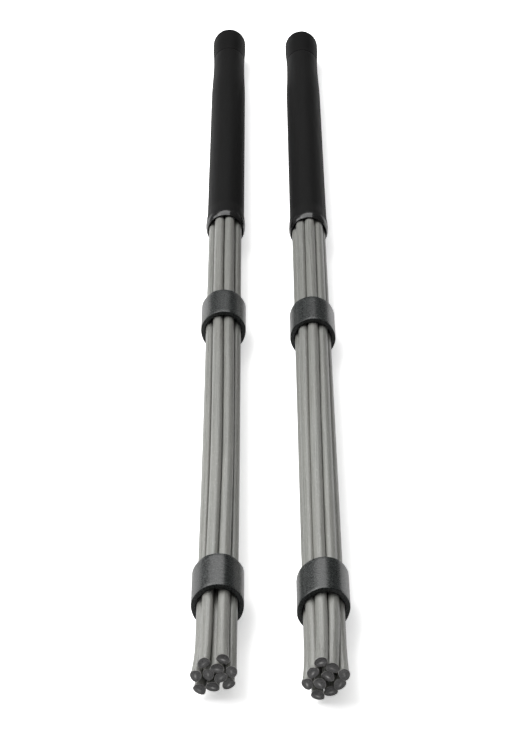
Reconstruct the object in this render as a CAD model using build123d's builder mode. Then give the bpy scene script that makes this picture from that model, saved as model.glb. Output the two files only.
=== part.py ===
"""A pair of multi-rod drum brushes lying side by side.

Each stick is a bundle of ten oval plastic rods, laid flat side out in a rim round a small core.
Tape binds the rear of the bundle, a shrunk sleeve covers it as the grip, and a domed cap closes the butt.
Two rubber bands slide along the bare rods and set how far the tips can spread.

Frame: +Z up, +Y from the tips to the butts, origin on the surface that the pair lies on, midway between them.
Along a stick, every distance called "from the tip" runs from its longest rod's end. Millimetres and degrees.
"""

import os
from math import cos, radians, sin, sqrt, tan

from build123d import *

# The pair
stick_length = 404.4
stick_gap = 12.9  # from one stick's bands to the other's
stick_lead = 1.6  # how much further forward the right stick lies

# Rods
rod_width = 3.1
rod_thickness = 2.45
rod_gap = 0.04
nip_angle = 20.0  # slope of the two faces that the cutter leaves, either side of the ridge
trim_spread = 0.8  # from the longest rod's end back to the shortest's

# Sliding bands
band_length = 14.4
band_wall = 1.28
band_clearance = 0.2
band_outer_edge = 0.4
band_inner_edge = 0.2
band_edge_share = 0.45  # the most of the wall that one rounded edge may take
tip_band_from_tip = 29.5

# Binding tape, wound round the rods inside the grip
tape_thickness = 0.16
tape_clearance = 0.03
tape_inset = 2.0  # from each end of the sleeve's straight barrel

# Grip sleeve
barrel_length = 108.0
sleeve_wall = 0.38
sleeve_clearance = 0.03
lip_height = 0.38  # of the lip's widest ring above the barrel
lip_turn = 0.5  # how far the lip turns in again, from its widest ring to the mouth
lip_widest_from_mouth = 3.0
lip_length = 12.0
waist_wall = 0.2
taper_length = 26.0
waist_length = 6.0

# End cap
cap_wall = 0.565
cap_front_wall = 0.25
cap_bulge_length = 12.0
cap_side_length = 4.15
cap_bore_depth = 10.0
cap_clearance = 0.03
butt_gap = 0.2

# Each stick's side of the pair, the distance from its grip band to its sleeve's mouth, and its rods: where
# each one stands, measured from straight up towards +X, and how far its end is trimmed back, as a share of
# trim_spread.
sticks = {
    "left": {
        "side": -1,
        "grip_band_to_mouth": 53.2,
        "rim": [(30, 0.7), (80, 0.4), (130, 0.8), (181, 0.3), (232, 0), (283, 0.5), (333, 1)],
        "core": [(5, 0.2), (125, 0.6), (245, 0.9)],
    },
    "right": {
        "side": 1,
        "grip_band_to_mouth": 56.0,
        "rim": [(-7, 0.6), (38, 0.5), (83, 0.2), (128, 0.7), (173, 1), (218, 0), (263, 0.4), (308, 0.3)],
        "core": [(50, 0.8), (230, 0.1)],
    },
}


def narrowest_pitch(rods):
    """Smallest angle between two rods next to each other on a ring."""
    angles = [angle for angle, trim_share in rods]
    following = angles[1:] + [angles[0] + 360]
    return min(after - before for before, after in zip(angles, following))


def ring_radius(rods):
    """Smallest ring on which flat-laid rods clear each other by rod_gap where they stand closest."""
    half_pitch = radians(narrowest_pitch(rods) / 2)
    reach_across = sqrt((rod_width / 2 * cos(half_pitch)) ** 2 + (rod_thickness / 2 * sin(half_pitch)) ** 2)
    return (reach_across + rod_gap / 2) / sin(half_pitch)


def rim_radius_around(stick):
    """Ring for a stick's rim rods: clear of each other, and clear of the core that they surround."""
    around_core = ring_radius(stick["core"]) + rod_thickness + rod_gap
    return max(ring_radius(stick["rim"]), around_core)


# Radii from the middle of the bundle outwards
rim_radius = max(rim_radius_around(stick) for stick in sticks.values())
bundle_radius = rim_radius + rod_thickness / 2
band_bore = bundle_radius + band_clearance
band_radius = band_bore + band_wall
tape_bore = bundle_radius + tape_clearance
tape_radius = tape_bore + tape_thickness
barrel_bore = tape_radius + sleeve_clearance
barrel_radius = barrel_bore + sleeve_wall
lip_radius = barrel_radius + lip_height
mouth_radius = lip_radius - lip_turn
waist_bore = bundle_radius + sleeve_clearance
waist_radius = waist_bore + waist_wall
cap_bore = bundle_radius + cap_clearance
cap_front_radius = cap_bore + cap_front_wall
cap_radius = cap_bore + cap_wall

# Stations along a stick, from the tip, worked forward from the butt
dome_start = stick_length - cap_radius
cap_widest = dome_start - cap_side_length
sleeve_end = cap_widest - cap_bulge_length
cap_floor = sleeve_end + cap_bore_depth
rod_end = cap_floor - butt_gap
waist_start = sleeve_end - waist_length
barrel_end = waist_start - taper_length
mouth = barrel_end - barrel_length
lip_widest = mouth + lip_widest_from_mouth
lip_end = mouth + lip_length

axis_height = band_radius
stick_spacing = 2 * band_radius + stick_gap


def stick_origin(side):
    """Where a stick's axis passes its longest rod's tip."""
    return Vector(side * stick_spacing / 2, -(stick_length + side * stick_lead) / 2, axis_height)


def stick_axis(side):
    """A stick's centre line, from tip to butt."""
    return Axis(stick_origin(side), (0, 1, 0))


def lengthwise_plane(side):
    """Plane through a stick's axis: local x runs from the tip to the butt, local y is the radius, upwards."""
    return Plane(origin=stick_origin(side), x_dir=(0, 1, 0), z_dir=(1, 0, 0))


def save(part, name):
    """Labels a finished piece and writes it as its own STEP file."""
    part.label = name
    export_step(part, f"parts/{name}.step")


def make_rod(side, ring, angle, trim_share):
    """Straight oval rod, its width along the ring, its front end nipped to a ridge along the width."""
    turn = radians(angle)
    outwards = Vector(sin(turn), 0, cos(turn))
    along_ring = Vector(cos(turn), 0, -sin(turn))
    trim = trim_share * trim_spread
    tip = stick_origin(side) + outwards * ring + Vector(0, trim, 0)
    length = rod_end - trim
    shoulder = rod_thickness * tan(radians(nip_angle))
    with BuildPart() as rod:
        with BuildSketch(Plane(origin=tip, x_dir=along_ring, z_dir=(0, 1, 0))):
            Ellipse(rod_width / 2, rod_thickness / 2)
        extrude(amount=length)
        with BuildSketch(Plane(origin=tip, x_dir=(0, 1, 0), z_dir=along_ring)):
            with BuildLine():
                Polyline(
                    (0, 0),
                    (shoulder, rod_thickness),
                    (length, rod_thickness),
                    (length, -rod_thickness),
                    (shoulder, -rod_thickness),
                    close=True,
                )
            make_face()
        extrude(amount=rod_width, both=True, mode=Mode.INTERSECT)
    return rod.part


def make_band(side, from_tip):
    """Rubber ring with rounded edges."""
    outer_edge = min(band_outer_edge, band_edge_share * band_wall)
    inner_edge = min(band_inner_edge, band_edge_share * band_wall)
    with BuildPart() as band:
        with BuildSketch(lengthwise_plane(side)):
            with BuildLine():
                Polyline(
                    (from_tip, band_bore),
                    (from_tip, band_radius),
                    (from_tip + band_length, band_radius),
                    (from_tip + band_length, band_bore),
                    close=True,
                )
            make_face()
            fillet(vertices().group_by(Axis.Y)[-1], outer_edge)
            fillet(vertices().group_by(Axis.Y)[0], inner_edge)
        revolve(axis=stick_axis(side))
    return band.part


def make_tape(side):
    """Several turns of binding tape, as one thin tube."""
    front = mouth + tape_inset
    back = barrel_end - tape_inset
    with BuildPart() as tape:
        with BuildSketch(lengthwise_plane(side)):
            with BuildLine():
                Polyline(
                    (front, tape_bore),
                    (front, tape_radius),
                    (back, tape_radius),
                    (back, tape_bore),
                    close=True,
                )
            make_face()
        revolve(axis=stick_axis(side))
    return tape.part


def make_sleeve(side):
    """Shrunk grip sleeve: a rounded lip that turns in at the mouth, a straight barrel, then a waist."""
    mouth_slope = 2 * lip_turn / lip_widest_from_mouth
    with BuildPart() as sleeve:
        with BuildSketch(lengthwise_plane(side)):
            with BuildLine():
                front_face = Line((mouth, mouth_radius - sleeve_wall), (mouth, mouth_radius))
                lip_front = Spline(
                    front_face @ 1,
                    (lip_widest, lip_radius),
                    tangents=[(1, mouth_slope), (1, 0)],
                )
                lip_back = Spline(lip_front @ 1, (lip_end, barrel_radius), tangents=[(1, 0), (1, 0)])
                barrel = Line(lip_back @ 1, (barrel_end, barrel_radius))
                taper = Spline(barrel @ 1, (waist_start, waist_radius), tangents=[(1, 0), (1, 0)])
                waist = Line(taper @ 1, (sleeve_end, waist_radius))
                rear_face = Line(waist @ 1, (sleeve_end, waist_bore))
                waist_inside = Line(rear_face @ 1, (waist_start, waist_bore))
                taper_inside = Spline(
                    waist_inside @ 1,
                    (barrel_end, barrel_bore),
                    tangents=[(-1, 0), (-1, 0)],
                )
                barrel_inside = Line(taper_inside @ 1, (lip_end, barrel_bore))
                lip_back_inside = Spline(
                    barrel_inside @ 1,
                    (lip_widest, lip_radius - sleeve_wall),
                    tangents=[(-1, 0), (-1, 0)],
                )
                Spline(lip_back_inside @ 1, front_face @ 0, tangents=[(-1, 0), (-1, -mouth_slope)])
            make_face()
        revolve(axis=stick_axis(side))
    return sleeve.part


def make_cap(side):
    """Domed end cap: a cup over the rods' butts that swells from the sleeve's end to a round dome."""
    with BuildPart() as cap:
        with BuildSketch(lengthwise_plane(side)):
            with BuildLine():
                front = Line((sleeve_end, cap_bore), (sleeve_end, cap_front_radius))
                bulge = Spline(front @ 1, (cap_widest, cap_radius), tangents=[(1, 0), (1, 0)])
                side_wall = Line(bulge @ 1, (dome_start, cap_radius))
                TangentArc(side_wall @ 1, (stick_length, 0), tangent=(1, 0))
                Polyline((stick_length, 0), (cap_floor, 0), (cap_floor, cap_bore), front @ 0)
            make_face()
        revolve(axis=stick_axis(side))
    return cap.part


os.makedirs("parts", exist_ok=True)

for stick_name, stick in sticks.items():
    side = stick["side"]
    rods = [make_rod(side, rim_radius, *place) for place in stick["rim"]]
    rods += [make_rod(side, ring_radius(stick["core"]), *place) for place in stick["core"]]
    for number, rod in enumerate(rods, start=1):
        save(rod, f"{stick_name}_rod_{number:02d}")

    save(make_band(side, tip_band_from_tip), f"{stick_name}_tip_band")
    grip_band_from_tip = mouth - stick["grip_band_to_mouth"] - band_length
    save(make_band(side, grip_band_from_tip), f"{stick_name}_grip_band")
    save(make_tape(side), f"{stick_name}_binding_tape")
    save(make_sleeve(side), f"{stick_name}_grip_sleeve")
    save(make_cap(side), f"{stick_name}_end_cap")
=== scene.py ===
"""Finish of a pair of multi-rod drum brushes: grey plastic rods, rubber bands, black grips and end caps.

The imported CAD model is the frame. Rods, bands, sleeves and caps are drawn again here with their cut ends, the
twist that the rods take along the stick, the bands' squeeze over the rods and the sleeves' shrunk surface.
Metres throughout. +Y runs from the tips to the butts, +Z is up.
"""

from math import atan2, hypot, pi, radians, sin, tan

import bpy
import numpy as np
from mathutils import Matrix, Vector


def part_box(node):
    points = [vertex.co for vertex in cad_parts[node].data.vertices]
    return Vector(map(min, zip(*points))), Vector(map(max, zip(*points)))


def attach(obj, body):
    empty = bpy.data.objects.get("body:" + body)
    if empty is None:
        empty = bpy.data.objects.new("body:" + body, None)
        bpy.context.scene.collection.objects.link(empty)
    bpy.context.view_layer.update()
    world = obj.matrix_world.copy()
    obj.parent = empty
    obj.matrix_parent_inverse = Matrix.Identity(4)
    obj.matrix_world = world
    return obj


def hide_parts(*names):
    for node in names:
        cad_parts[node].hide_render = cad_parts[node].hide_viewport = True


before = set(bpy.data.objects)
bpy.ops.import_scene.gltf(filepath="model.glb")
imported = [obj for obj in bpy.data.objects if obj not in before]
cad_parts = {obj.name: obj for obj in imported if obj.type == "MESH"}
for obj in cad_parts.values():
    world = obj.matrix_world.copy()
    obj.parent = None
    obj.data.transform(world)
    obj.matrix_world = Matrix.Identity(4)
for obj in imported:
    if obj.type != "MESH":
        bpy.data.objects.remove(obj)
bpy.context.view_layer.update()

MM = 0.001

# Rods: how each stick's bundle turns along its length, as (mm from the tip, degrees)
TWIST = {
    "left": [
        (0, -4), (27, -4), (53, 1), (73, 4), (96, 6.3), (118, 6), (138, 4.6), (160, 2.4), (198, -2.3),
        (228, -3.5), (243, -3.8), (400, -3.8),
    ],
    "right": [
        (0, -1.5), (17, -1), (55, -2.5), (95, -0.5), (128, 2), (160, 5.5), (198, 8), (229, 9.7), (243, 10.2),
        (400, 10.2),
    ],
}
# How far each rod strays round the stick from its place in the bundle, in degrees: behind the tip band, ahead
# of it, and further at the very tip, where nothing holds it. Last, how far out it stands at the tip, in mm.
STRAY = {
    "left": [
        (-6.5, -1.5, -3.5, 0.6), (-4.5, -6, 8, -0.25), (-2, -2, 12, 0.35), (-1, -6, 22.5, -0.25),
        (0, -2, -2, 1.85), (1.5, -3.5, -11, 1), (3.5, -6.5, -7.5, 0.15),
        (0, 0, 7, 0.25), (0, 1, 11, 0), (0, 1.5, 21, 0.35),
    ],
    "right": [
        (0, -3, -5, 0.8), (0, -0.5, -10.5, -0.8), (0, -0.5, -8, 0.4), (0, -1.5, -6, -0.25),
        (0, -2, -5, 0.45), (0, -1, -12.5, 1.2), (0, -2, -9, 0.9), (0, -2.5, -6.5, -0.4),
        (0, 10.5, -21, -0.8), (0, 5, -4, 0.9),
    ],
}
BAND_ZONE = (27 * MM, 50 * MM)  # from the tip: where each rod goes over from its front stray to its rear one
LOOSE_LENGTH = 27 * MM
FLARE_LENGTH = 14 * MM
RIM_SHARE = 0.9  # a rod that stands further out than this share of the widest ring belongs to the rim
ROD_COLUMNS = 40

# Rods' cut ends
NIP_ANGLE = radians(20)
NIP_FADE_LENGTH = 4 * MM
RIDGE_ROUNDING = 0.10 * MM
# Painted highlight on the bead in the middle of each ridge: its height and width
BEAD_HIGHLIGHT_HEIGHT = 0.2 * MM
BEAD_HIGHLIGHT_WIDTH = 0.5 * MM
EDGE_ROUNDING = 0.12 * MM
EDGE_START = 0.85  # as a share of the section
BURR = 0.18 * MM
BURR_LENGTH = 0.3 * MM
# Painted highlight along the burr's edge: how far back from the end it reaches
BURR_HIGHLIGHT_LENGTH = 0.12 * MM

# Painted shade, where the light falls off towards the grip: where the rods darken, as places along +Y,
# and what their colour is multiplied by there
PAINTED_SHADE_STRETCH = (-0.11, -0.02)
PAINTED_SHADE = (0.76, 0.76, 0.76, 1)

# Bands: how far off square each one sits, in degrees, and how it follows the rods under it
BAND_SKEW = {"left_tip_band": 2, "left_grip_band": 0, "right_tip_band": 8, "right_grip_band": -1}
BAND_OUTER_DIP = 0.35
BAND_INNER_DIP = 0.5
BAND_WALL = 1.28 * MM
BAND_OUTER_EDGE = 0.22 * MM
BAND_INNER_EDGE = 0.2 * MM
BAND_COLUMNS = 144
DIP_PASSES = 12  # of softening

# Grip sleeve, with as many columns as the end cap has
GRIP_COLUMNS = 96
SLEEVE_WALL = 0.38 * MM
WAIST_WALL = 0.2 * MM
LIP_HEIGHT = 0.38 * MM
LIP_TURN = 0.5 * MM
LIP_WIDEST = 3 * MM
LIP_LENGTH = 12 * MM
BARREL_LENGTH = 108 * MM
TAPER_LENGTH = 26 * MM
WAIST_STEP = 0.37 * MM

# End cap
CAP_WALL = 0.565 * MM
CAP_FRONT_WALL = 0.25 * MM
CAP_BULGE_LENGTH = 12 * MM
CAP_BORE_DEPTH = 10 * MM

# Camera and stage
CAMERA_PLACE = (-0.0045, -0.7297, 0.3818)
CAMERA_PITCH = radians(29.0)
CAMERA_YAW = radians(0.31)
CAMERA_ROLL = radians(0.22)
FOCAL_LENGTH = 129.4
SENSOR_LENGTH = 36.0


# ---------------------------------------------------------------- colours and nodes


def colour(code):
    """Linear RGBA from an sRGB hex code."""
    srgb = np.array([int(code[i : i + 2], 16) for i in (1, 3, 5)]) / 255
    linear = np.where(srgb <= 0.04045, srgb / 12.92, ((srgb + 0.055) / 1.055) ** 2.4)
    return (*linear.tolist(), 1.0)


def add(tree, kind, inputs=None, **settings):
    """Adds a node. Inputs are values, or sockets of other nodes to link from."""
    node = tree.nodes.new(kind)
    for name, value in settings.items():
        setattr(node, name, value)
    for socket, value in (inputs or {}).items():
        if isinstance(value, bpy.types.NodeSocket):
            tree.links.new(value, node.inputs[socket])
        else:
            node.inputs[socket].default_value = value
    return node


def new_material(name):
    """An empty node material, and its tree."""
    material = bpy.data.materials.new(name)
    material.use_nodes = True
    material.node_tree.nodes.clear()
    return material, material.node_tree


def finish_material(tree, shader):
    """Links a shader to the material's output."""
    add(tree, "ShaderNodeOutputMaterial", {"Surface": shader})


def noise(tree, size_mm, detail=2.0, roughness=0.5, offset=0.0):
    """Noise on object coordinates, whose features are about size_mm = (x, y, z) across."""
    place = add(tree, "ShaderNodeTexCoord").outputs["Object"]
    scale = tuple(1 / (size * MM) for size in size_mm)
    placed = add(tree, "ShaderNodeMapping", {"Vector": place, "Scale": scale, "Location": (offset,) * 3})
    return add(
        tree,
        "ShaderNodeTexNoise",
        {"Vector": placed.outputs["Vector"], "Scale": 1.0, "Detail": detail, "Roughness": roughness},
    ).outputs["Fac"]


def spread(tree, value, low, high, from_low=0.3, from_high=0.7):
    """Carries a 0..1 pattern onto low..high."""
    return add(
        tree,
        "ShaderNodeMapRange",
        {"Value": value, "From Min": from_low, "From Max": from_high, "To Min": low, "To Max": high},
    ).outputs["Result"]


def blend(tree, factor, first, second, kind="MIX"):
    """Mixes two colours, or multiplies the first by the second."""
    mix = add(tree, "ShaderNodeMix", {"Factor": factor}, data_type="RGBA", blend_type=kind)
    for socket, value in ((mix.inputs[6], first), (mix.inputs[7], second)):
        if isinstance(value, bpy.types.NodeSocket):
            tree.links.new(value, socket)
        else:
            socket.default_value = value
    return mix.outputs[2]


def rod_plastic():
    """Extruded PVC rod: satin grey, with the die's fine lines and lighter scuffs drawn out along it, and a
    darker stretch near the grip, painted shade where the light falls off. The nipped ends are rough and
    much darker, partly for the rough cut and partly as painted shade, as they face away from the lamps.
    A painted highlight lies on the bead of squeezed plastic in the middle of each ridge, and another makes
    the burr's edge pale. The lines are drawn about twice as coarse as the real ones, so that they show.
    """
    material, tree = new_material("extruded_grey_pvc")
    drawn_lines = noise(tree, (0.22, 22, 0.22), detail=3, roughness=0.6)
    scuffs = noise(tree, (0.2, 1.6, 0.2), detail=2, offset=3)
    cloud = noise(tree, (4, 40, 4), detail=2, offset=7)
    crumbs = noise(tree, (0.35, 0.35, 0.35), detail=2, offset=11)
    cut = add(tree, "ShaderNodeAttribute", attribute_name="cut").outputs["Fac"]
    bead_highlight = add(tree, "ShaderNodeAttribute", attribute_name="bead_highlight").outputs["Fac"]
    burr_highlight = add(tree, "ShaderNodeAttribute", attribute_name="burr_highlight").outputs["Fac"]
    side = blend(tree, spread(tree, drawn_lines, 0, 1, 0.35, 0.65), colour("#91928d"), colour("#aaaba6"))
    side = blend(tree, spread(tree, cloud, 0, 0.5), side, colour("#a2a19b"))
    side = blend(tree, spread(tree, scuffs, 0, 0.5, 0.58, 0.7), side, colour("#c4c5c0"))
    place = add(tree, "ShaderNodeTexCoord").outputs["Object"]
    distance = add(tree, "ShaderNodeSeparateXYZ", {"Vector": place}).outputs["Y"]
    # Painted shade: the sides darken towards the grip, where the light falls off
    side = blend(tree, spread(tree, distance, 0, 1, *PAINTED_SHADE_STRETCH), side, PAINTED_SHADE, "MULTIPLY")
    # Cut ends: darker partly for the rough cut and partly as painted shade, as they face away from the lamps
    end = blend(tree, spread(tree, crumbs, 0, 1), colour("#4e4d4d"), colour("#706f6f"))
    # Painted highlight on the bead in the middle of each ridge, unevenly bright
    gleam = spread(tree, noise(tree, (3, 3, 3), detail=1, offset=17), 0.25, 1.0, 0.4, 0.58)
    bead_highlight_share = add(tree, "ShaderNodeMath", {0: bead_highlight, 1: gleam}, operation="MULTIPLY").outputs["Value"]
    end = blend(tree, bead_highlight_share, end, colour("#e4e4e2"))
    # Painted highlight along the burr's edge, in ragged patches
    ragged = spread(tree, noise(tree, (1.1, 1.1, 1.1), detail=2, offset=23), 0.15, 1.0, 0.4, 0.6)
    burr_highlight_share = add(tree, "ShaderNodeMath", {0: burr_highlight, 1: ragged}, operation="MULTIPLY").outputs["Value"]
    base = blend(tree, burr_highlight_share, blend(tree, cut, side, end), colour("#d4d4d0"))
    roughness = spread(tree, drawn_lines, 0.24, 0.38)
    bump = add(tree, "ShaderNodeBump", {"Height": drawn_lines, "Strength": 0.3, "Distance": 0.02 * MM})
    shader = add(
        tree,
        "ShaderNodeBsdfPrincipled",
        {
            "Base Color": base,
            "Roughness": roughness,
            "IOR": 1.53,
            "Normal": bump.outputs["Normal"],
        },
    )
    finish_material(tree, shader.outputs["BSDF"])
    return material


def band_rubber():
    """Nitrile tube, cut to length: dark slate, satin, with faint rings from its drawing and a soft sheen
    where it turns away. Its skin sparkles with a fine grain, drawn about twice as coarse as the real one, so
    that it shows; the pale flecks in its colour are partly dust and partly painted sparkle. The sawn ends
    are duller and have no sheen.
    """
    material, tree = new_material("extruded_nitrile_rubber")
    grain = noise(tree, (0.4, 0.45, 0.4), detail=3, roughness=0.7)
    rings = noise(tree, (3, 0.35, 3), detail=2, offset=5)
    cut = add(tree, "ShaderNodeAttribute", attribute_name="cut").outputs["Fac"]
    base = blend(tree, spread(tree, grain, 0, 1, 0.35, 0.65), colour("#131716"), colour("#2a2e2d"))
    base = blend(tree, spread(tree, rings, 0, 0.25), base, colour("#3b3f3e"))
    # Pale flecks: partly dust and partly painted sparkle
    base = blend(tree, spread(tree, grain, 0, 0.5, 0.55, 0.7), base, colour("#6a6f6e"))
    end = blend(tree, spread(tree, grain, 0, 1, 0.4, 0.65), colour("#181a1a"), colour("#3a3e3d"))
    height = add(tree, "ShaderNodeMath", {0: grain, 1: 1.5, 2: rings}, operation="MULTIPLY_ADD")
    bump = add(
        tree, "ShaderNodeBump", {"Height": height.outputs["Value"], "Strength": 0.6, "Distance": 0.02 * MM}
    )
    shader = add(
        tree,
        "ShaderNodeBsdfPrincipled",
        {
            "Base Color": blend(tree, cut, base, end),
            "Roughness": spread(tree, grain, 0.2, 0.38),
            "IOR": 1.52,
            "Specular IOR Level": 0.32,
            "Coat Weight": spread(tree, cut, 0.38, 0.0, 0, 1),
            "Coat Roughness": 0.24,
            "Normal": bump.outputs["Normal"],
        },
    )
    finish_material(tree, shader.outputs["BSDF"])
    return material


def grip_sleeve_vinyl():
    """Heat-shrunk PVC: near black and dull, with faint lengthwise flow lines. The lip, stretched as it
    shrank, is glossier.
    """
    material, tree = new_material("shrunk_black_pvc")
    flow = noise(tree, (0.8, 14, 0.8), detail=2)
    grain = noise(tree, (0.4, 0.4, 0.4), detail=1, offset=4)
    base = blend(tree, spread(tree, flow, 0, 1), colour("#161616"), colour("#1b1b1b"))
    lip = add(tree, "ShaderNodeAttribute", attribute_name="lip").outputs["Fac"]
    bump = add(tree, "ShaderNodeBump", {"Height": grain, "Strength": 0.25, "Distance": 0.03 * MM})
    shader = add(
        tree,
        "ShaderNodeBsdfPrincipled",
        {
            "Base Color": base,
            "Roughness": spread(tree, flow, 0.46, 0.54),
            "IOR": 1.45,
            "Specular IOR Level": 0.06,
            "Coat Weight": spread(tree, lip, 0, 0.9, 0, 1),
            "Coat Roughness": 0.14,
            "Normal": bump.outputs["Normal"],
        },
    )
    finish_material(tree, shader.outputs["BSDF"])
    return material


def cap_rubber():
    """Moulded synthetic rubber: near black, a little duller than the sleeve, with a fine even grain."""
    material, tree = new_material("moulded_black_rubber")
    grain = noise(tree, (0.5, 0.5, 0.5), detail=2)
    base = blend(tree, spread(tree, grain, 0, 1), colour("#161616"), colour("#1c1c1c"))
    bump = add(tree, "ShaderNodeBump", {"Height": grain, "Strength": 0.3, "Distance": 0.04 * MM})
    shader = add(
        tree,
        "ShaderNodeBsdfPrincipled",
        {
            "Base Color": base,
            "Roughness": spread(tree, grain, 0.45, 0.55),
            "IOR": 1.45,
            "Specular IOR Level": 0.04,
            "Normal": bump.outputs["Normal"],
        },
    )
    finish_material(tree, shader.outputs["BSDF"])
    return material


def binding_tape_cloth():
    """Cloth tape, wound round the rods: black and matt, with a fine weave and a tone that changes slowly."""
    material, tree = new_material("black_cloth_tape")
    weave = noise(tree, (0.3, 0.3, 0.3), detail=1)
    turns = noise(tree, (20, 6, 20), detail=0, offset=2)
    base = blend(tree, spread(tree, turns, 0, 1), colour("#101010"), colour("#1b1b1b"))
    bump = add(tree, "ShaderNodeBump", {"Height": weave, "Strength": 0.4, "Distance": 0.05 * MM})
    shader = add(
        tree,
        "ShaderNodeBsdfPrincipled",
        {"Base Color": base, "Roughness": 0.8, "Normal": bump.outputs["Normal"]},
    )
    finish_material(tree, shader.outputs["BSDF"])
    return material


# ---------------------------------------------------------------- surfaces


def wrap_grid(rows, columns, first=0):
    """Quads of a grid whose columns join round, as rows of four vertex numbers."""
    row, column = np.meshgrid(np.arange(rows - 1), np.arange(columns), indexing="ij")
    after = (column + 1) % columns
    low, high = row * columns, (row + 1) * columns
    quads = np.stack([low + column, high + column, high + after, low + after], axis=-1)
    return quads.reshape(-1, 4) + first


def pole_fan(pole, ring_start, columns, flip):
    """Triangles from a pole vertex to a ring of columns vertices."""
    column = np.arange(columns)
    after = (column + 1) % columns
    near, far = (after, column) if flip else (column, after)
    return np.stack([np.full(columns, pole), near + ring_start, far + ring_start], axis=-1)


def new_piece(name, points, faces, material, attributes=None):
    """A smooth-shaded mesh object at the origin, with float attributes on its vertices."""
    mesh = bpy.data.meshes.new(name)
    mesh.from_pydata(points.tolist(), [], faces)
    mesh.shade_smooth()
    for label, values in (attributes or {}).items():
        mesh.attributes.new(label, "FLOAT", "POINT").data.foreach_set("value", values.astype(np.float32))
    mesh.materials.append(material)
    piece = bpy.data.objects.new(name, mesh)
    bpy.context.scene.collection.objects.link(piece)
    return piece


def closed_tube(name, rings, material, attributes=None):
    """Solid from rings[row, column, xyz] in order: the first and last rows close to their own middles."""
    rows, columns = rings.shape[:2]
    poles = np.stack([rings[0].mean(axis=0), rings[-1].mean(axis=0)])
    points = np.concatenate([rings.reshape(-1, 3), poles])
    first_pole = rows * columns
    faces = wrap_grid(rows, columns).tolist()
    faces += pole_fan(first_pole, 0, columns, flip=False).tolist()
    faces += pole_fan(first_pole + 1, (rows - 1) * columns, columns, flip=True).tolist()
    values = {}
    for label, grid in (attributes or {}).items():
        values[label] = np.concatenate([grid.reshape(-1), [grid[0].mean(), grid[-1].mean()]])
    return new_piece(name, points, faces, material, values)


def closed_ring(name, rings, material, attributes=None):
    """Solid from rings[row, column, xyz] whose rows go once round a profile: the last row joins the first."""
    rows, columns = rings.shape[:2]
    faces = wrap_grid(rows + 1, columns) % (rows * columns)
    values = {label: grid.reshape(-1) for label, grid in (attributes or {}).items()}
    return new_piece(name, rings.reshape(-1, 3), faces.tolist(), material, values)


def once_round(columns):
    """Angles once round a stick, in the order that makes faces between rings along +Y point outwards."""
    return np.linspace(2 * pi, 0, columns, endpoint=False)


def around_axis(stick, radius, angle, along):
    """Points round a stick's axis: a radius, an angle from straight up towards +X, and a place along +Y."""
    x = stick["x"] + radius * np.sin(angle)
    z = stick["z"] + radius * np.cos(angle)
    return np.stack(np.broadcast_arrays(x, along, z), axis=-1)


# ---------------------------------------------------------------- sticks


def stick_frame(side):
    """A stick's axis, tip, rods and band radius, all read from the CAD boxes."""
    low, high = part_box(f"{side}_tip_band")
    stick = {"x": (low.x + high.x) / 2, "z": (low.z + high.z) / 2}
    stick["band_radius"] = (high.z - low.z) / 2
    rods = {}
    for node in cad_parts:
        if node.startswith(f"{side}_rod_"):
            low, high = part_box(node)
            across = ((low.x + high.x) / 2 - stick["x"], (low.z + high.z) / 2 - stick["z"])
            rods[node] = {
                "ring": hypot(*across),
                "angle": atan2(*across),
                "front": low.y,
                "back": high.y,
                "spans": (high.x - low.x, high.z - low.z),
            }
    spans = [span for rod in rods.values() for span in rod["spans"]]
    stick["rod_width"] = max(spans)
    stick["rod_thickness"] = min(spans)
    stick["tip"] = min(rod["front"] for rod in rods.values())
    stick["rim"] = max(rod["ring"] for rod in rods.values())
    stick["rods"] = rods
    return stick


def ease(share):
    """Smooth step from 0 to 1."""
    share = np.clip(share, 0, 1)
    return share * share * (3 - 2 * share)


def smooth_through(stations, values, at):
    """Cubic curve through the stations, whose slope at each one is that between its neighbours."""
    slopes = np.gradient(values, stations)
    at = np.clip(at, stations[0], stations[-1])
    left = np.clip(np.searchsorted(stations, at, side="right") - 1, 0, len(stations) - 2)
    gap = stations[left + 1] - stations[left]
    share = (at - stations[left]) / gap
    rise = values[left] * (1 + 2 * share) * (1 - share) ** 2 + values[left + 1] * share**2 * (3 - 2 * share)
    lean = slopes[left] * share * (1 - share) ** 2 - slopes[left + 1] * share**2 * (1 - share)
    return rise + lean * gap


def bundle_turn(side, stick, along):
    """Angle that a stick's whole bundle has turned by at each distance along +Y."""
    stations, turns = np.array(TWIST[side], float).T
    return np.radians(smooth_through(stations * MM, turns, along - stick["tip"]))


def in_rim(stick, rod):
    """Whether a rod belongs to its bundle's rim, and not to the core."""
    return rod["ring"] > RIM_SHARE * stick["rim"]


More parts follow.
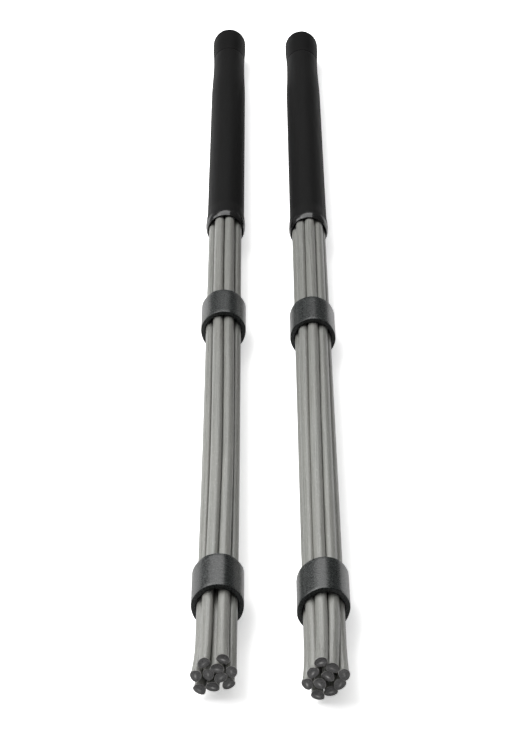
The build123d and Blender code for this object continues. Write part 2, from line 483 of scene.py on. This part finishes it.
def make_rod(node, side, stick, material):
    """Oval rod on the twisted bundle's ring.

    Section: x = w/2 cos u, y = t/2 sin u. Front face: shrunken copies of the section, each point set back by
    the nip's slope times its distance from the ridge, rounded as sqrt(d^2 + e^2) - e. Side: the same section
    carried along the rod, swollen at the tip by a burr that fades as a bell curve. Path: an angle and a
    radius round the stick's axis, both straying from the rod's place by an amount that fades as (1 - s)^2,
    where s is the share of the loose or the flared length behind the tip. The radius of a rod that moves
    inwards or stands in the core fades as (1 - s)^1.2.
    """
    rod = stick["rods"][node]
    rear_stray, front_stray, tip_turn, tip_shift = STRAY[side][int(node[-2:]) - 1]
    u = np.linspace(0, 2 * pi, ROD_COLUMNS, endpoint=False)
    half_width, half_thickness = stick["rod_width"] / 2, stick["rod_thickness"] / 2
    length = rod["back"] - rod["front"]

    face_share = np.array([0.05, 0.12, 0.2, 0.3, 0.42, 0.55, 0.7, 0.82, 0.9, 0.95, 0.98])
    near = np.array([0, 0.05, 0.12, 0.22, 0.35, 0.5, 0.7, 0.95, 1.3, 1.8, 2.5, 3.5, 5, 6.5]) * MM
    far = np.linspace(8 * MM, length, 90)
    from_front = np.concatenate([np.zeros(len(face_share)), near, far])[:, None]
    share = np.concatenate([face_share, [1.0] * (len(near) + len(far))])[:, None]

    swell = BURR * np.exp(-((from_front / BURR_LENGTH) ** 2)) * share
    across = (half_width * share + swell) * np.cos(u)
    outward = (half_thickness * share + swell) * np.sin(u)
    setback = tan(NIP_ANGLE) * (np.hypot(outward, RIDGE_ROUNDING) - RIDGE_ROUNDING)
    edge = EDGE_ROUNDING * np.clip((share - EDGE_START) / (1 - EDGE_START), 0, 1) ** 2
    fade = np.clip(1 - from_front / NIP_FADE_LENGTH, 0, 1)
    along = rod["front"] + from_front + (setback + edge) * fade

    from_tip = along - stick["tip"]
    loose = np.clip(1 - from_tip / LOOSE_LENGTH, 0, 1)
    flared = np.clip(1 - from_tip / FLARE_LENGTH, 0, 1)
    crossing = ease((BAND_ZONE[1] - from_tip) / (BAND_ZONE[1] - BAND_ZONE[0]))
    stray = rear_stray + (front_stray - rear_stray) * crossing + tip_turn * loose**2
    turn = rod["angle"] + bundle_turn(side, stick, along) + np.radians(stray)
    shift = tip_shift * MM * (flared**2 if in_rim(stick, rod) and tip_shift > 0 else loose**1.2)
    ring = rod["ring"] + shift + outward
    x = stick["x"] + ring * np.sin(turn) + across * np.cos(turn)
    z = stick["z"] + ring * np.cos(turn) - across * np.sin(turn)
    rings = np.stack([x, along, z], axis=-1)

    cut = np.broadcast_to(np.interp(share, [0.95, 1.0], [1.0, 0.0]), x.shape)
    # Mask for the painted highlight on the bead in the middle of the ridge
    bead_highlight = cut * np.exp(-((outward / BEAD_HIGHLIGHT_HEIGHT) ** 2) - (across / BEAD_HIGHLIGHT_WIDTH) ** 2)
    # Mask for the painted highlight along the burr's edge
    burr_highlight = np.interp(share, [0.91, 0.97], [0.0, 1.0]) * np.exp(-((from_front / BURR_HIGHLIGHT_LENGTH) ** 2))
    marks = {"cut": cut, "bead_highlight": bead_highlight, "burr_highlight": np.broadcast_to(burr_highlight, x.shape)}
    piece = closed_tube(f"{node}_drawn", rings, material, marks)
    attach(piece, f"{side}_stick")
    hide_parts(node)
    return piece


def rim_dip(side, stick, along, angle):
    """How far a skin stretched over the rim rods sinks between them, below the rods' own outer edge.

    Between two rods at a pitch p the skin runs straight, so at an angle a from the middle of the pair it lies
    at R cos(p/2) / cos a instead of R.
    """
    rim = stick["rim"]
    strays = dict(zip(sorted(stick["rods"]), STRAY[side]))
    rim_rods = {node: rod for node, rod in stick["rods"].items() if in_rim(stick, rod)}
    centres = [rod["angle"] + radians(strays[node][0]) for node, rod in rim_rods.items()]
    centres = np.sort(np.array(centres) % (2 * pi)) + bundle_turn(side, stick, np.array([along]))[0]
    pitch = np.diff(np.concatenate([centres, [centres[0] + 2 * pi]]))
    middle = centres + pitch / 2
    offset = (angle[:, None] - middle + pi) % (2 * pi) - pi
    inside = np.abs(offset) <= pitch / 2 + 1e-9
    widest = 1.2
    chord = rim * np.cos(pitch / 2) / np.cos(np.clip(offset, -widest, widest))
    return np.where(inside, rim - chord, 0).max(axis=1)


def rounded(values, passes):
    """Softens a closed curve by averaging each point with its neighbours, several times."""
    for _ in range(passes):
        values = (np.roll(values, 1) + 2 * values + np.roll(values, -1)) / 4
    return values


def band_profile(length):
    """Rounded rectangle, once round: (distance from the front, depth below the outer surface)."""
    quarter = np.linspace(0, pi / 2, 6)
    outer, inner = BAND_OUTER_EDGE, BAND_INNER_EDGE
    along_outer = np.linspace(outer, length - outer, 12)[1:-1]
    along_inner = np.linspace(length - inner, inner, 8)[1:-1]
    front_outer = np.stack([outer - outer * np.cos(quarter), outer - outer * np.sin(quarter)], axis=1)
    back_outer = np.stack([length - outer + outer * np.sin(quarter), outer - outer * np.cos(quarter)], axis=1)
    back_inner = np.stack(
        [length - inner + inner * np.cos(quarter), BAND_WALL - inner + inner * np.sin(quarter)], axis=1
    )
    front_inner = np.stack(
        [inner - inner * np.sin(quarter), BAND_WALL - inner + inner * np.cos(quarter)], axis=1
    )
    outside = np.stack([along_outer, np.zeros_like(along_outer)], axis=1)
    inside = np.stack([along_inner, np.full_like(along_inner, BAND_WALL)], axis=1)
    return np.concatenate([front_outer, outside, back_outer, back_inner, inside, front_inner])


def make_band(node, side, stick, material):
    """Rubber ring: a rounded profile carried round the stick, sunk between the rods and cut askew."""
    low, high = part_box(node)
    angle = once_round(BAND_COLUMNS)
    dip = rounded(rim_dip(side, stick, (low.y + high.y) / 2, angle), DIP_PASSES)
    profile = band_profile(high.y - low.y)
    from_front, depth = profile[:, 0][:, None], profile[:, 1][:, None]
    inward = depth / BAND_WALL
    sink = dip * (BAND_OUTER_DIP + (BAND_INNER_DIP - BAND_OUTER_DIP) * inward)
    radius = stick["band_radius"] - depth - sink
    askew = tan(radians(BAND_SKEW[node])) * radius * np.sin(angle)
    rings = around_axis(stick, radius, angle, low.y + from_front + askew)
    from_end = np.minimum(from_front, high.y - low.y - from_front)
    cut = np.broadcast_to(1 - ease(from_end / BAND_INNER_EDGE), rings.shape[:2])
    piece = closed_ring(f"{node}_drawn", rings, material, {"cut": cut})
    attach(piece, node)
    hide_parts(node)
    return piece


def make_sleeve(side, stick, material):
    """Shrunk sleeve: a wall whose outer radius is the barrel's, plus a lip that rises by a smooth step and
    turns in at the mouth as (1 - s)^2, less a smooth step down to the waist, where the wall thins by the same
    smooth step. Half circles round the wall's ends.
    """
    node = f"{side}_grip_sleeve"
    low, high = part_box(node)
    barrel_radius = (high.z - low.z) / 2 - LIP_HEIGHT
    waist_radius = barrel_radius - WAIST_STEP
    length = high.y - low.y
    angle = once_round(GRIP_COLUMNS)

    def outer(distance):
        lip = LIP_HEIGHT * (1 - ease((distance - LIP_WIDEST) / (LIP_LENGTH - LIP_WIDEST)))
        turned_in = LIP_TURN * np.clip(1 - distance / LIP_WIDEST, 0, 1) ** 2
        taper = (barrel_radius - waist_radius) * ease((distance - BARREL_LENGTH) / TAPER_LENGTH)
        return barrel_radius + lip - turned_in - taper

    def wall(distance):
        return SLEEVE_WALL - (SLEEVE_WALL - WAIST_WALL) * ease((distance - BARREL_LENGTH) / TAPER_LENGTH)

    half_wall, half_waist_wall = SLEEVE_WALL / 2, WAIST_WALL / 2
    nose = np.linspace(-pi / 2, pi / 2, 11)[1:-1]
    lip = np.linspace(half_wall, LIP_LENGTH, 30)
    outside = np.concatenate([lip, np.linspace(LIP_LENGTH, length - half_waist_wall, 70)[1:]])
    inside = outside[::-1]
    along = np.concatenate(
        [
            half_wall - half_wall * np.cos(nose),
            outside,
            length - half_waist_wall + half_waist_wall * np.cos(nose),
            inside,
        ]
    )
    radius = np.concatenate(
        [
            outer(half_wall) - half_wall + half_wall * np.sin(nose),
            outer(outside),
            outer(length) - half_waist_wall - half_waist_wall * np.sin(nose),
            outer(inside) - wall(inside),
        ]
    )
    rings = around_axis(stick, radius[:, None], angle, low.y + along[:, None])
    lip_share = 1 - ease((along[:, None] - LIP_WIDEST / 2) / LIP_WIDEST)
    marks = {"lip": np.broadcast_to(lip_share, rings.shape[:2])}
    piece = closed_ring(f"{node}_drawn", rings, material, marks)
    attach(piece, f"{side}_stick")
    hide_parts(node)
    return piece


def make_cap(side, stick, material):
    """Moulded cap, a cup turned round the stick: out from the middle of its floor, forward along its bore,
    round its front edge, over the bulge as a smooth step and the plain side, and down a quarter circle to its
    butt.
    """
    node = f"{side}_end_cap"
    low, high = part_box(node)
    widest = (high.z - low.z) / 2
    bore, front_radius = widest - CAP_WALL, widest - CAP_WALL + CAP_FRONT_WALL
    length = high.y - low.y
    dome_start = length - widest
    angle = once_round(GRIP_COLUMNS)

    edge = CAP_FRONT_WALL / 2
    floor_share = np.array([0.1, 0.4, 0.7, 1.0])
    bore_wall = np.linspace(CAP_BORE_DEPTH, edge, 8)[1:-1]
    nose = np.linspace(-pi / 2, pi / 2, 9)
    bulge = np.linspace(edge, CAP_BULGE_LENGTH, 22)[1:]
    side_wall = np.linspace(CAP_BULGE_LENGTH, dome_start, 8)[1:]
    dome = np.linspace(0, pi / 2, 26)[1:-1]
    along = np.concatenate(
        [
            np.full(len(floor_share), CAP_BORE_DEPTH),
            bore_wall,
            edge - edge * np.cos(nose),
            bulge,
            side_wall,
            dome_start + widest * np.sin(dome),
        ]
    )
    radius = np.concatenate(
        [
            bore * floor_share,
            np.full(len(bore_wall), bore),
            bore + edge + edge * np.sin(nose),
            front_radius + (widest - front_radius) * ease(bulge / CAP_BULGE_LENGTH),
            np.full(len(side_wall), widest),
            widest * np.cos(dome),
        ]
    )
    rings = around_axis(stick, radius[:, None], angle, low.y + along[:, None])
    piece = closed_tube(f"{node}_drawn", rings, material)
    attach(piece, f"{side}_stick")
    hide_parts(node)
    return piece


# ---------------------------------------------------------------- stage


def make_floor():
    """Pale table top. The camera sees it lifted to white, with only the deeper part of the object's shadow
    left, and lifted further away from the object, where the lamps fall off. Gloss sees it lifted a little,
    and other rays see it as it is lit.
    """
    camera_white = (1.75, 1.75, 1.75, 1)
    near_glow, far_glow = 0.42, 1.0
    near_distance, far_distance = 0.35, 0.9
    gloss_glow = 0.25
    half = 3.0
    material, tree = new_material("white_paper")
    path = add(tree, "ShaderNodeLightPath").outputs
    tooth = noise(tree, (1.5, 1.5, 1.5), detail=2)
    paper = blend(tree, spread(tree, tooth, 0, 1), colour("#dcdcdc"), colour("#e0e0e0"))
    shown = blend(tree, path["Is Camera Ray"], paper, camera_white)
    place = add(tree, "ShaderNodeTexCoord").outputs["Object"]
    distance = add(tree, "ShaderNodeVectorMath", {0: place}, operation="LENGTH").outputs["Value"]
    to_camera = spread(tree, distance, near_glow, far_glow, near_distance, far_distance)
    in_gloss = add(tree, "ShaderNodeMath", {0: path["Is Glossy Ray"], 1: gloss_glow}, operation="MULTIPLY")
    lift = add(
        tree,
        "ShaderNodeMath",
        {0: path["Is Camera Ray"], 1: to_camera, 2: in_gloss.outputs["Value"]},
        operation="MULTIPLY_ADD",
    )
    matt = add(tree, "ShaderNodeBsdfDiffuse", {"Color": shown})
    glow = add(tree, "ShaderNodeEmission", {"Color": (1, 1, 1, 1), "Strength": lift.outputs["Value"]})
    both = add(tree, "ShaderNodeAddShader", {0: matt.outputs["BSDF"], 1: glow.outputs["Emission"]})
    finish_material(tree, both.outputs["Shader"])
    corners = np.array([(-half, -half, 0), (half, -half, 0), (half, half, 0), (-half, half, 0)], float)
    floor = new_piece("table_top", corners, [(0, 1, 2, 3)], material)


def make_lamp(name, place, size, energy):
    """Rectangular area lamp that faces the origin."""
    lamp_data = bpy.data.lights.new(name, "AREA")
    lamp_data.shape = "RECTANGLE"
    lamp_data.size, lamp_data.size_y = size
    lamp_data.energy = energy
    lamp = bpy.data.objects.new(name, lamp_data)
    lamp.location = place
    lamp.rotation_euler = lamp.location.to_track_quat("Z", "Y").to_euler()
    bpy.context.scene.collection.objects.link(lamp)


def make_lights():
    """Two lamps and a surround: a large lamp up to the left and a smaller one behind. The camera sees the
    surround white. Gloss sees it white at the horizon and nearly black from a few degrees up, and other rays
    see it grey.
    """
    grey = (0.2, 0.2, 0.2, 1)
    white = (1, 1, 1, 1)
    above = 0.08
    horizon_height = sin(radians(6))
    world = bpy.data.worlds.new("white_surround")
    bpy.context.scene.world = world
    world.use_nodes = True
    tree = world.node_tree
    tree.nodes.clear()
    path = add(tree, "ShaderNodeLightPath")
    direction = add(tree, "ShaderNodeTexCoord").outputs["Object"]
    height = add(tree, "ShaderNodeSeparateXYZ", {"Vector": direction}).outputs["Z"]
    in_gloss = spread(tree, height, 1.0, above, 0.0, horizon_height)
    lit = blend(tree, path.outputs["Is Glossy Ray"], grey, in_gloss)
    seen = blend(tree, path.outputs["Is Camera Ray"], lit, white)
    back = add(tree, "ShaderNodeBackground", {"Color": seen, "Strength": 1.0})
    add(tree, "ShaderNodeOutputWorld", {"Surface": back.outputs["Background"]})
    make_lamp("softbox", (-0.5, 0.19, 0.62), (0.8, 0.8), 6.3)
    make_lamp("strip_lamp", (-0.12, 0.67, 0.74), (0.75, 0.5), 3.0)


def make_camera():
    """Long lens in front of the tips, looking down the sticks."""
    camera_data = bpy.data.cameras.new("camera")
    camera_data.lens = FOCAL_LENGTH
    camera_data.sensor_width = SENSOR_LENGTH
    camera = bpy.data.objects.new("camera", camera_data)
    camera.location = CAMERA_PLACE
    camera.rotation_mode = "XYZ"
    camera.rotation_euler = (pi / 2 - CAMERA_PITCH, 0, -CAMERA_YAW)
    camera.rotation_euler.rotate_axis("Z", CAMERA_ROLL)
    bpy.context.scene.collection.objects.link(camera)
    bpy.context.scene.camera = camera


plastic = rod_plastic()
rubber = band_rubber()
vinyl = grip_sleeve_vinyl()
cap_material = cap_rubber()
tape_material = binding_tape_cloth()

for side in ("left", "right"):
    stick = stick_frame(side)
    for node in sorted(stick["rods"]):
        make_rod(node, side, stick, plastic)
    for band in ("tip_band", "grip_band"):
        make_band(f"{side}_{band}", side, stick, rubber)
    make_sleeve(side, stick, vinyl)
    make_cap(side, stick, cap_material)
    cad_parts[f"{side}_binding_tape"].material_slots[0].material = tape_material

make_floor()
make_lights()
make_camera()
bpy.context.scene.view_settings.view_transform = "Standard"
